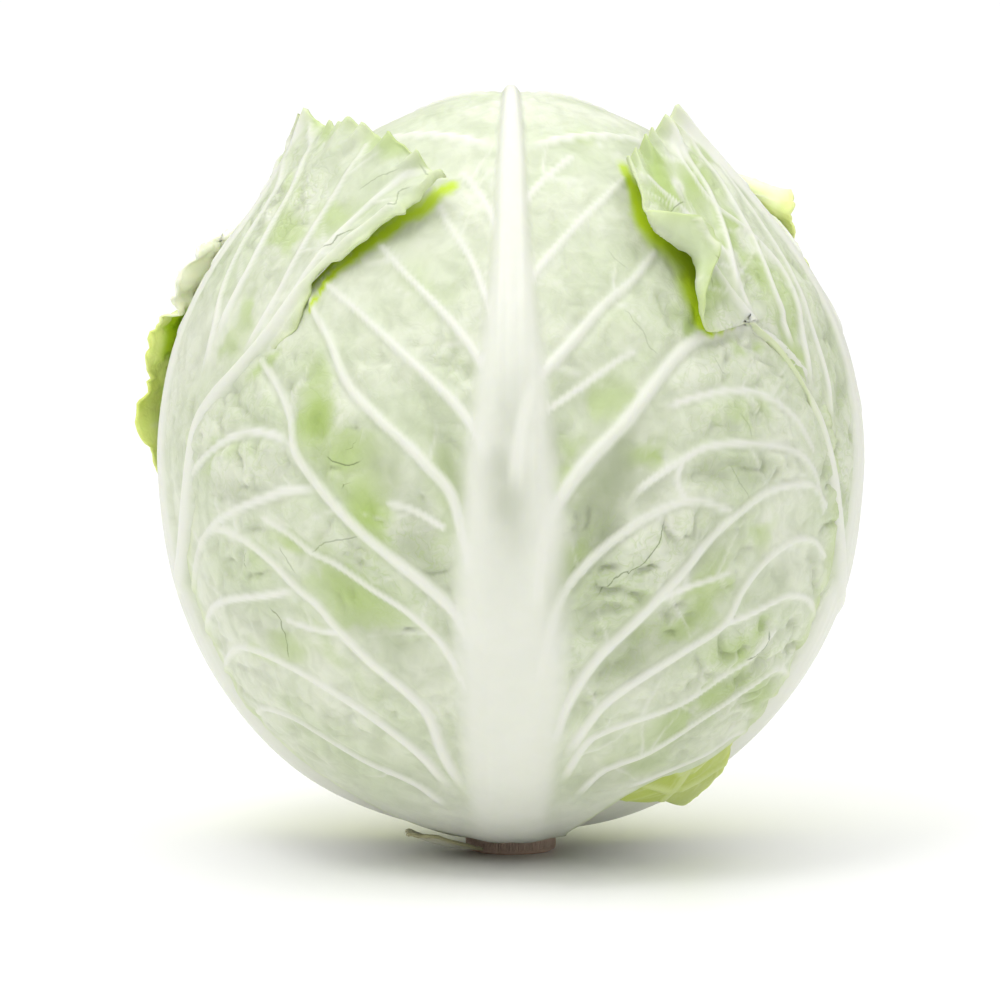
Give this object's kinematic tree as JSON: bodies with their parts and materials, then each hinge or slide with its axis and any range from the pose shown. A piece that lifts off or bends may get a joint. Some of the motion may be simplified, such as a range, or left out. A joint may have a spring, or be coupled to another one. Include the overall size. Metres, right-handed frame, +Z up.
{
  "type": "cabbage head",
  "caption": "Round head of cabbage with pale ribbed wrapper leaves, frilled upper margins and a cut stem it rests on.",
  "frame": {"origin": "centre of the stem's flat cut face, on the surface that the head stands on", "axes": "+Z up through the crown, -Y towards the front leaf that the picture shows, +X to the right of that view"},
  "size_m": [0.1856, 0.188, 0.196],
  "materials": {
    "pale_leaf": "waxy pale cabbage leaf with raised white ribs and soft green blotches, thin and faintly translucent",
    "green_leaf": "waxy yellow-green outer leaf with pale ribs and a blistered surface",
    "trimmed_leaf": "cut pale leaf stalk, slightly dried at the cut",
    "heart_leaf": "smooth pale yellow-green inner leaf",
    "cut_stem": "cut stem, dried to a pinkish brown with fine fibres"
  },
  "bodies": {
    "root": {"front_leaf": "pale_leaf", "left_leaf": "pale_leaf", "right_leaf": "pale_leaf", "rear_left_leaf": "green_leaf", "rear_right_leaf": "green_leaf", "tucked_leaf": "green_leaf", "trimmed_leaf_base": "trimmed_leaf", "heart": "heart_leaf", "stem": "cut_stem"}
  },
  "joints": []
}
